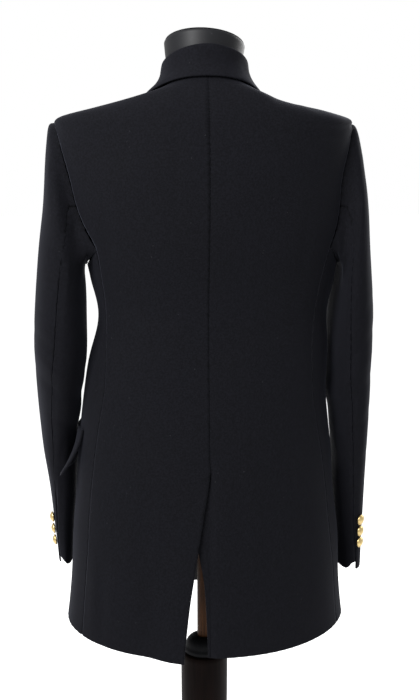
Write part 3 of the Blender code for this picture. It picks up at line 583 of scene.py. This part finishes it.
def near_path(points: np.ndarray, path: tuple[tuple[float, float], ...]) -> tuple:
    """How far points lie from a line of places, and where along it.

    Args:
        points: (n, 2) places.
        path: the line's places.

    Returns:
        Distances, and shares of the line's length from 0 to 1.
    """
    line = np.array(path, float)
    steps = np.linalg.norm(np.diff(line, axis=0), axis=1)
    runs = np.concatenate([[0.0], np.cumsum(steps)]) / steps.sum()
    best = np.full(len(points), 9.0)
    along = np.zeros(len(points))
    for k in range(len(line) - 1):
        way = line[k + 1] - line[k]
        share = np.clip((points - line[k]) @ way / (way @ way), 0.0, 1.0)
        gap = np.linalg.norm(points - line[k] - share[:, None] * way, axis=1)
        closer = gap < best
        best[closer] = gap[closer]
        along[closer] = (runs[k] + share * (runs[k + 1] - runs[k]))[closer]
    return best, along


def smooth_step(low: float, high: float, at: np.ndarray) -> np.ndarray:
    """0 below low, 1 above high and a smooth rise between."""
    share = np.clip((at - low) / (high - low), 0.0, 1.0)
    return share * share * (3 - 2 * share)


@dataclass
class Tube:
    """The middle line of a body or sleeve, by height."""

    nodes: tuple[str, ...]
    line_x: np.ndarray = field(default_factory=lambda: np.zeros(4))
    line_y: np.ndarray = field(default_factory=lambda: np.zeros(4))
    straight: bool = False

    def measure(self) -> "Tube":
        """Fits the line to the nodes' points."""
        if self.straight:
            return self
        points = []
        for name in self.nodes:
            points += [vert.co for vert in bpy.data.objects[name].data.vertices]
        cloud = np.array(points, float)
        self.line_x = np.polyfit(cloud[:, 2], cloud[:, 0], 3)
        self.line_y = np.polyfit(cloud[:, 2], cloud[:, 1], 3)
        return self

    def outward(self, points: np.ndarray) -> tuple[np.ndarray, np.ndarray]:
        """Level directions away from the line.

        Args:
            points: (n, 3) places.

        Returns:
            Unit directions (n, 3) and distances (n,).
        """
        middle = np.zeros_like(points)
        middle[:, 0] = np.polyval(self.line_x, points[:, 2])
        middle[:, 1] = np.polyval(self.line_y, points[:, 2])
        middle[:, 2] = points[:, 2]
        away = points - middle
        far = np.linalg.norm(away, axis=1)
        return away / np.maximum(far, 1e-6)[:, None], far


BODY = Tube(("back_left",), straight=True)


@dataclass
class Piece:
    """One cloth solid and what its shell is made with."""

    node: str
    tube: Tube
    creases: tuple[Crease, ...]
    levels: int
    flat: tuple[float, float]
    area: float
    held: str
    rests_on: tuple[str, ...]
    lined: bool = True
    pressed: float = 0.0004


def quads_of(node: str, kind: Cut) -> bmesh.types.BMesh:
    """A merged copy of a solid in four-sided faces, with its edges marked for smoothing.

    Args:
        node: the solid's name.
        kind: how edges are found.

    Returns:
        The copy.
    """
    shape = bmesh.new()
    shape.from_mesh(bpy.data.objects[node].data)
    bmesh.ops.remove_doubles(shape, verts=shape.verts, dist=2e-5)
    bmesh.ops.join_triangles(
        shape, faces=shape.faces, angle_face_threshold=math.radians(32),
        angle_shape_threshold=math.radians(60), cmp_seam=False,
    )
    shape.normal_update()
    crease = shape.edges.layers.float.new("crease_edge")
    if kind is Cut.HARD:
        for edge in shape.edges:
            if len(edge.link_faces) == 2 and edge.calc_face_angle(0.0) > math.radians(38):
                edge[crease] = 1.0
        return shape
    tree = BVHTree.FromBMesh(shape)
    rim = set()
    for face in shape.faces:
        start = face.calc_center_median() - face.normal * 1e-4
        hit = tree.ray_cast(start, -face.normal, 0.02)
        if hit[0] is None or hit[3] > 0.0036:
            rim.add(face.index)
    for edge in shape.edges:
        ends = [face.index in rim for face in edge.link_faces]
        turned = edge.calc_face_angle(0.0) > math.radians(42)
        if len(ends) == 2 and turned and (ends[0] != ends[1] or all(ends)):
            edge[crease] = 1.0
    return shape


def spots(mesh: bpy.types.Mesh, count: int) -> np.ndarray:
    """A mesh's first points.

    Args:
        mesh: the mesh.
        count: how many.

    Returns:
        (count, 3) places.
    """
    flat = np.zeros(len(mesh.vertices) * 3)
    mesh.vertices.foreach_get("co", flat)
    return flat.reshape(-1, 3)[:count].copy()


def keep_through(piece: bpy.types.Object, halve: bpy.types.SubsurfModifier) -> None:
    """Moves a coarse mesh's points so that its smoothed face passes through where they were.

    Args:
        piece: the coarse piece.
        halve: its smoothing, at one level here.
    """
    halve.levels = halve.render_levels = 1
    count = len(piece.data.vertices)
    aim = spots(piece.data, count)
    now = aim.copy()
    for _ in range(6):
        graph = bpy.context.evaluated_depsgraph_get()
        shown = piece.evaluated_get(graph)
        now += 0.8 * (aim - spots(shown.to_mesh(), count))
        shown.to_mesh_clear()
        piece.data.vertices.foreach_set("co", now.ravel())
        piece.data.update()


def smoothed(shape: bmesh.types.BMesh, name: str, levels: int) -> bpy.types.Object:
    """Subdivides a shape smoothly and applies it.

    Args:
        shape: the marked copy, freed here.
        name: the new piece's name.
        levels: how often it is halved.

    Returns:
        The piece.
    """
    coarse = bpy.data.meshes.new(name + "_coarse")
    shape.to_mesh(coarse)
    shape.free()
    piece = bpy.data.objects.new(name, coarse)
    bpy.context.scene.collection.objects.link(piece)
    halve = piece.modifiers.new("Smooth", "SUBSURF")
    halve.boundary_smooth = "PRESERVE_CORNERS"
    keep_through(piece, halve)
    halve.levels = halve.render_levels = levels
    graph = bpy.context.evaluated_depsgraph_get()
    fine = bpy.data.meshes.new_from_object(piece.evaluated_get(graph))
    piece.modifiers.clear()
    piece.data = fine
    fine.name = name
    bpy.data.meshes.remove(coarse)
    return piece


def shade(piece: bpy.types.Object, degrees: float) -> None:
    """Smooth shading with sharp edges over an angle."""
    piece.data.shade_smooth()
    piece.data.set_sharp_from_angle(angle=math.radians(degrees))


@dataclass
class Cloth:
    """The blazer's shells."""

    suiting: bpy.types.Material
    collar_cloth: bpy.types.Material
    lining: bpy.types.Material
    left_arm: Tube = field(default_factory=lambda: Tube(("sleeve_left_upper", "sleeve_left_under")))
    right_arm: Tube = field(default_factory=lambda: Tube(("sleeve_right_upper", "sleeve_right_under")))
    sewn: list[np.ndarray] = field(default_factory=list)
    faces: list[list[tuple[int, ...]]] = field(default_factory=list)
    reach: float = 0.0013
    side_reach: float = 0.0036
    arm_reach: float = 0.0026
    front_reach: float = 0.0055
    collar_drop: float = 0.0042

    def pieces(self) -> tuple[Piece, ...]:
        """The cut pieces, with their flat sizes in metres and areas in square metres."""
        left, right = self.left_arm.measure(), self.right_arm.measure()
        on = ("form_torso",)
        return (
            Piece("back_left", BODY, BODY_CREASES, 3, (0.205, 0.800), 0.1412, "hung", on),
            Piece("back_right", BODY, BODY_CREASES, 3, (0.230, 0.800), 0.1552, "hung", on),
            Piece("side_left", BODY, BODY_CREASES, 3, (0.150, 0.565), 0.0730, "hung", on),
            Piece("side_right", BODY, BODY_CREASES, 3, (0.150, 0.565), 0.0729, "hung", on),
            Piece("front_left", BODY, BODY_CREASES, 3, (0.225, 0.800), 0.1456, "hung", on),
            Piece("front_right", BODY, BODY_CREASES, 3, (0.225, 0.800), 0.1505, "hung", on),
            Piece("sleeve_left_upper", left, SLEEVE_CREASES, 3, (0.185, 0.665), 0.0990, "hung", on),
            Piece("sleeve_left_under", left, SLEEVE_CREASES, 3, (0.160, 0.545), 0.0737, "hung", on),
            Piece("sleeve_right_upper", right, SLEEVE_CREASES, 3, (0.195, 0.665), 0.1062, "hung", on),
            Piece("sleeve_right_under", right, SLEEVE_CREASES, 3, (0.150, 0.545), 0.0681, "hung", on),
            Piece(
                "lapel_left", BODY, (), 2, (0.075, 0.260), 0.0134, "folded", ("front_left",), False, 0.0
            ),
            Piece(
                "lapel_right", BODY, (), 2, (0.080, 0.335), 0.0161, "folded", ("front_right",), False, 0.0
            ),
            Piece("collar", BODY, (), 2, (0.480, 0.085), 0.0386, "folded", ("back_left",), False, 0.0),
            Piece("flap_left", BODY, (), 2, (0.165, 0.065), 0.0100, "hung", ("side_left",), False, 0.0),
            Piece("flap_right", BODY, (), 2, (0.100, 0.064), 0.0059, "hung", ("side_right",), False, 0.0),
        )

    def build(self) -> None:
        """Makes each shell, dresses it and lets it ride on the form."""
        for cut in self.pieces():
            shape = quads_of(cut.node, Cut.SHEET)
            mark = shape.edges.layers.float["crease_edge"]
            rims = []
            for edge in shape.edges:
                if edge[mark] > 0:
                    ends = [vert.co.copy() for vert in edge.verts]
                    rims += [ends[0], ends[1], (ends[0] + ends[1]) / 2]
            piece = smoothed(shape, cut.node + "_cloth", cut.levels)
            self.lay(piece, cut, rims)
            turned = ("collar", "lapel_left", "lapel_right")
            cloth = self.collar_cloth if cut.node in turned else self.suiting
            piece.data.materials.clear()
            piece.data.materials.append(cloth)
            piece.data.materials.append(self.lining)
            self.line(piece, cut)
            shade(piece, 50)
            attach(piece, "form")
            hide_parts(cut.node)
            LOG.info("%s: %d faces", piece.name, len(piece.data.polygons))

    def lay(self, piece: bpy.types.Object, cut: Piece, rims: list[Vector]) -> None:
        """Presses a shell along its edges, lays its creases and paints shade along its seams.

        Args:
            piece: the shell.
            cut: what it is made with.
            rims: places on its edges.
        """
        mesh = piece.data
        flat = np.zeros(len(mesh.vertices) * 3)
        mesh.vertices.foreach_get("co", flat)
        points = flat.reshape(-1, 3)
        away, far = cut.tube.outward(points)
        weave = np.zeros_like(points)
        angle = np.arctan2(away[:, 0], -away[:, 1])
        weave[:, 0] = angle * (BODY_RADIUS if cut.tube is BODY else ARM_RADIUS)
        weave[:, 1] = points[:, 2] - far
        places = np.column_stack([points[:, 0], points[:, 2] - HEM_Z])
        push = np.zeros(len(points))
        dark = np.zeros(len(points))
        faces_back = smooth_step(-0.25, 0.25, away[:, 1])
        for crease in cut.creases:
            gap, along = near_path(places, crease.path)
            soft = np.exp(-((gap / crease.width) ** 2))
            taper = 0.35 + 0.65 * np.sin(np.pi * np.clip(along, 0.02, 0.98)) ** 0.7
            seen = faces_back if crease.side is Side.BACK else 1 - faces_back
            push += crease.depth * soft * taper * seen
        wave = np.sin(points[:, 0] * 41 + points[:, 2] * 17)
        wave = wave * np.sin(points[:, 2] * 29 + points[:, 1] * 23)
        if cut.creases:
            push += RIPPLE_DEPTH * wave
        if cut.pressed:
            tree = KDTree(len(rims))
            for k, place in enumerate(rims):
                tree.insert(place, k)
            tree.balance()
            gaps = np.array([tree.find(point)[2] for point in points])
            push -= cut.pressed * np.exp(-((gaps / PRESSED_WIDTH) ** 2))
            armhole = (np.abs(places[:, 0]) > ARMHOLE_X) & (places[:, 1] > ARMHOLE_Z)
            # Painted shade: 1 on each seam and edge, fading within about a millimetre, wider round the
            # armholes.
            dark = np.exp(-((gaps / np.where(armhole, ARMHOLE_PAINTED_SHADE_WIDTH, PAINTED_SEAM_SHADE_WIDTH)) ** 2))
        points = points + away * push[:, None]
        if cut.node == "collar":
            points[:, 2] -= self.collar_drop * smooth_step(0.045, 0.085, -points[:, 0])
        if cut.pressed:
            behind = smooth_step(0.030, 0.050, points[:, 1]) * (places[:, 0] < -0.085)
            high = smooth_step(0.690, 0.715, places[:, 1])
            self.ease(points, mesh, np.clip((gaps - 0.002) / 0.006, 0, 1) * behind * high)
            reach = np.full(len(points), self.side_reach if "side" in cut.node else self.reach)
            if "sleeve" in cut.node:
                reach[:] = np.where(armhole & (points[:, 1] < 0), self.front_reach, self.arm_reach)
            self.close(points, gaps, reach)
            self.sewn.append(points.copy())
            self.faces.append([tuple(face.vertices) for face in mesh.polygons])
        mesh.vertices.foreach_set("co", points.ravel())
        mesh.attributes.new("weave", "FLOAT_VECTOR", "POINT").data.foreach_set("vector", weave.ravel())
        # The painted seam shade is kept on the points for the cloth's colour.
        mesh.attributes.new("seam", "FLOAT", "POINT").data.foreach_set("value", dark)
        mesh.update()

    def ease(self, points: np.ndarray, mesh: bpy.types.Mesh, share: np.ndarray) -> None:
        """Evens out a shell where it is padded.

        Args:
            points: the shell's points, moved here.
            mesh: the shell, for its edges.
            share: how much each point gives way.
        """
        ends = np.zeros(len(mesh.edges) * 2, int)
        mesh.edges.foreach_get("vertices", ends)
        ends = ends.reshape(-1, 2)
        ties = np.bincount(ends.ravel(), minlength=len(points))[:, None]
        for _ in range(40 if share.any() else 0):
            total = np.zeros_like(points)
            np.add.at(total, ends[:, 0], points[ends[:, 1]])
            np.add.at(total, ends[:, 1], points[ends[:, 0]])
            points += 0.6 * share[:, None] * (total / ties - points)

    def close(self, points: np.ndarray, gaps: np.ndarray, reach: np.ndarray) -> None:
        """Draws a shell's seams to the shells made before, so that no light shows through.

        Args:
            points: the shell's points, moved here.
            gaps: how far each lies from an edge.
            reach: the widest gap that is closed at each.
        """
        trees = [BVHTree.FromPolygons(known, faces) for known, faces in zip(self.sewn, self.faces)]
        for k in np.nonzero(gaps < SEWN_RIM)[0]:
            found = [tree.find_nearest(Vector(points[k]), reach[k]) for tree in trees]
            found = [hit for hit in found if hit[0] is not None]
            if found:
                near = min(found, key=lambda hit: hit[3])
                share = DRAWN_SHARE - DRAWN_LESS * max(0.0, near[3] / reach[k] - 0.5) / 0.5
                points[k] += share * (np.array(near[0]) - points[k])

    def line(self, piece: bpy.types.Object, cut: Piece) -> None:
        """Gives the inner faces the lining.

        Args:
            piece: the shell.
            cut: what it is made with.
        """
        mesh = piece.data
        count = len(mesh.polygons)
        normals = np.zeros(count * 3)
        mesh.polygons.foreach_get("normal", normals)
        centres = np.zeros(count * 3)
        mesh.polygons.foreach_get("center", centres)
        away, _ = cut.tube.outward(centres.reshape(-1, 3))
        inner = (normals.reshape(-1, 3) * away).sum(axis=1) < -0.35
        slots = np.where(inner & cut.lined, 1, 0).astype(np.int32)
        mesh.polygons.foreach_set("material_index", slots)
        mesh.update()


@dataclass
class DomeButtons:
    """Gold-coloured buttons with a beaded rim and a plain dome."""

    gold: bpy.types.Material
    names: tuple[str, ...] = (
        "cuff_button_left_1", "cuff_button_left_2", "cuff_button_left_3",
        "cuff_button_right_1", "cuff_button_right_2", "cuff_button_right_3",
        "front_button_1", "front_button_2",
    )
    profile: tuple[tuple[float, float], ...] = (
        (0.00, 0.02), (0.66, 0.02), (0.90, 0.10), (0.985, 0.24), (1.00, 0.36), (0.985, 0.46),
        (0.94, 0.54), (0.885, 0.55), (0.845, 0.50), (0.80, 0.50), (0.76, 0.60), (0.68, 0.72),
        (0.52, 0.86), (0.34, 0.95), (0.16, 0.99), (0.00, 1.00),
    )

    def build(self) -> None:
        """Turns a button over each button solid."""
        for name in self.names:
            spot = bpy.data.objects[name]
            cloud = np.array([vert.co for vert in spot.data.vertices], float)
            middle = cloud.mean(axis=0)
            _, _, axes = np.linalg.svd(cloud - middle, full_matrices=False)
            out = axes[2]
            aim = np.array([middle[0], 0.0, 0.0]) if "cuff" in name else np.array([0.0, -1.0, 0.0])
            if out @ aim < 0:
                out = -out
            reach = (cloud - middle) @ out
            flat = (cloud - middle) - reach[:, None] * out
            radius = np.linalg.norm(flat, axis=1).max()
            base = middle + out * reach.min()
            piece = self.turn(name + "_metal", radius, reach.max() - reach.min())
            turn = Vector(out).to_track_quat("Z", "Y").to_matrix().to_4x4()
            piece.data.transform(Matrix.Translation(Vector(base)) @ turn)
            piece.data.materials.append(self.gold)
            shade(piece, 55)
            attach(piece, "form")
            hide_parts(name)
            LOG.info("%s: radius %.1f mm", piece.name, radius * 1000)

    def turn(self, name: str, radius: float, height: float) -> bpy.types.Object:
        """One button, its back at the origin and its dome up.

        Args:
            name: the piece's name.
            radius: the rim's radius.
            height: from back to crown.

        Returns:
            The piece.
        """
        shape = bmesh.new()
        verts = [shape.verts.new((r * radius, 0.0, z * height)) for r, z in self.profile]
        edges = [shape.edges.new(pair) for pair in zip(verts, verts[1:])]
        bmesh.ops.spin(
            shape, geom=verts + edges, cent=(0, 0, 0), axis=(0, 0, 1), dvec=(0, 0, 0),
            angle=math.tau, steps=56, use_merge=True, use_normal_flip=False, use_duplicate=False,
        )
        bmesh.ops.remove_doubles(shape, verts=shape.verts, dist=1e-6)
        for vert in shape.verts:
            ring = math.hypot(vert.co.x, vert.co.y) / radius
            if 0.90 < ring < 0.995 and vert.co.z > 0.4 * height:
                vert.co.z += 0.018 * height * math.cos(28 * math.atan2(vert.co.y, vert.co.x))
        bmesh.ops.recalc_face_normals(shape, faces=shape.faces)
        mesh = bpy.data.meshes.new(name)
        shape.to_mesh(mesh)
        shape.free()
        piece = bpy.data.objects.new(name, mesh)
        bpy.context.scene.collection.objects.link(piece)
        return piece


@dataclass
class Stand:
    """The form and its stand, smoothed from their solids."""

    finishes: dict[str, tuple[bpy.types.Material, str, str, int]]

    def build(self) -> None:
        """Makes each hard piece and lets it ride on its body."""
        for node, (finish, slot, body, levels) in self.finishes.items():
            piece = smoothed(quads_of(node, Cut.HARD), node + "_finish", levels)
            piece.data.materials.clear()
            piece.data.materials.append(finish)
            shade(piece, 42)
            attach(piece, body)
            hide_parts(node)
            LOG.info("%s: %d faces", piece.name, len(piece.data.polygons))


@dataclass
class Stitches:
    """The short row of stitches that holds the top of the vent."""

    thread: bpy.types.Material
    start: tuple[float, float] = (0.0388, 0.2420)
    end: tuple[float, float] = (0.0022, 0.2482)
    pitch: float = 0.0034
    length: float = 0.0024
    thick: float = 0.00042

    def build(self) -> None:
        """Sews the row on the left back."""
        cloth = bpy.data.objects["back_left_cloth"]
        graph = bpy.context.evaluated_depsgraph_get()
        tree = BVHTree.FromObject(cloth, graph)
        run = math.dist(self.start, self.end)
        count = int(run / self.pitch)
        shape = bmesh.new()
        for k in range(count):
            share = (k + 0.5) / count
            x = self.start[0] + (self.end[0] - self.start[0]) * share
            z = self.start[1] + (self.end[1] - self.start[1]) * share + HEM_Z
            spot, normal, _, _ = tree.ray_cast(Vector((x, 0.30, z)), Vector((0, -1, 0)))
            if spot is None:
                continue
            made = bmesh.ops.create_cube(shape, size=1.0)["verts"]
            bmesh.ops.scale(shape, vec=(self.length, self.thick, self.thick * 1.3), verts=made)
            tilt = math.atan2(self.end[1] - self.start[1], self.end[0] - self.start[0])
            turn = Matrix.Rotation(-tilt, 4, "Y")
            to_cloth = Matrix.Translation(spot + normal * 0.00012)
            bmesh.ops.transform(shape, matrix=to_cloth @ turn, verts=made)
        bmesh.ops.bevel(
            shape, geom=shape.edges[:], offset=0.00013, segments=1, profile=0.5, affect="EDGES",
            material=-1,
        )
        mesh = bpy.data.meshes.new("vent_stitches")
        shape.to_mesh(mesh)
        shape.free()
        piece = bpy.data.objects.new("vent_stitches", mesh)
        bpy.context.scene.collection.objects.link(piece)
        mesh.materials.append(self.thread)
        shade(piece, 60)
        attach(piece, "form")
        LOG.info("vent_stitches: %d stitches", count)


@dataclass
class Studio:
    """The pale floor, the soft light and the photograph's camera."""

    camera_at: tuple[float, float, float] = (0.103, 1.4045, 1.293)
    aim_at: tuple[float, float] = (0.0, 0.110)
    pitch: float = 10.0
    lens: float = 51.4
    sky: float = 1.0
    key: float = 100.0

    def build(self) -> None:
        """Sets the camera, the lights and the floor."""
        self.shoot()
        world = bpy.data.worlds.new("Studio")
        bpy.context.scene.world = world
        world.use_nodes = True
        world.node_tree.nodes["Background"].inputs[0].default_value = colour(1.0, 1.0, 1.0)
        world.node_tree.nodes["Background"].inputs[1].default_value = self.sky
        self.lamp("Key", (1.10, 1.25, 2.35), (0.0, 0.0, 1.25), self.key, 0.9)
        self.lamp("Fill", (-1.6, -1.7, 2.0), (0.0, 0.0, 1.1), self.key * 0.5, 1.6)
        shape = bmesh.new()
        bmesh.ops.create_grid(shape, x_segments=2, y_segments=2, size=30.0)
        mesh = bpy.data.meshes.new("floor")
        shape.to_mesh(mesh)
        shape.free()
        mesh.transform(Matrix.Translation((0.0, 0.0, -0.0004)))
        mesh.materials.append(Paint().make())
        floor = bpy.data.objects.new("floor", mesh)
        bpy.context.scene.collection.objects.link(floor)
        bpy.context.scene.view_settings.view_transform = "Standard"

    def lamp(self, name: str, at: tuple, to: tuple, power: float, size: float) -> None:
        """One soft lamp.

        Args:
            name: its name.
            at: where it hangs.
            to: what it lights.
            power: in watts.
            size: its side in metres.
        """
        light = bpy.data.lights.new(name, "AREA")
        light.energy = power
        light.size = size
        lamp = bpy.data.objects.new(name, light)
        lamp.location = at
        lamp.rotation_euler = (Vector(at) - Vector(to)).to_track_quat("Z", "Y").to_euler()
        bpy.context.scene.collection.objects.link(lamp)

    def shoot(self) -> None:
        """Places the camera where the photograph was taken from."""
        data = bpy.data.cameras.new("Camera")
        data.lens = self.lens
        data.sensor_width = 36.0
        data.clip_start = 0.05
        data.clip_end = 100.0
        camera = bpy.data.objects.new("Camera", data)
        bpy.context.scene.collection.objects.link(camera)
        level = Vector((self.aim_at[0] - self.camera_at[0], self.aim_at[1] - self.camera_at[1], 0.0))
        down = math.radians(self.pitch)
        way = level.normalized() * math.cos(down) - Vector((0, 0, 1)) * math.sin(down)
        camera.location = self.camera_at
        camera.rotation_euler = way.to_track_quat("-Z", "Y").to_euler()
        bpy.context.scene.camera = camera


def main() -> None:
    """Builds the studio and dresses the part."""
    logging.basicConfig(level=logging.INFO, format="%(name)s: %(message)s")
    for thing in list(bpy.data.objects):
        bpy.data.objects.remove(thing)
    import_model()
    Studio().build()
    dark = Wood(
        "Dark turned wood", (0.0015, 0.0006, 0.0005), (0.0050, 0.0023, 0.0017), 0.44, 0.030
    ).make()
    brown = Wood("Brown wood", (0.0120, 0.0047, 0.0019), (0.0500, 0.0200, 0.0068), 0.40, 0.060).make()
    Stand({
        "form_torso": (Jersey().make(), "form_covering", "form", 1),
        "form_neck_cap": (Gloss().make(), "black_gloss", "form", 3),
        "stand_pole": (brown, "brown_wood", "form", 2),
        "stand_cap": (Gloss("Black gloss, worn", 0.48, 0.06).make(), "black_gloss", "stand", 2),
        "stand_column": (dark, "dark_wood", "stand", 2),
        "stand_base": (dark, "dark_wood", "stand", 2),
    }).build()
    Cloth(
        # Painted light: the collar and lapels wear a copy of the suiting painted 12 % lighter.
        Suiting().make(), Suiting("Black suiting, collar", 1.12).make(), Lining().make(),
    ).build()
    DomeButtons(Gold().make()).build()
    Stitches(Thread().make()).build()


if __name__ == "__main__":
    main()
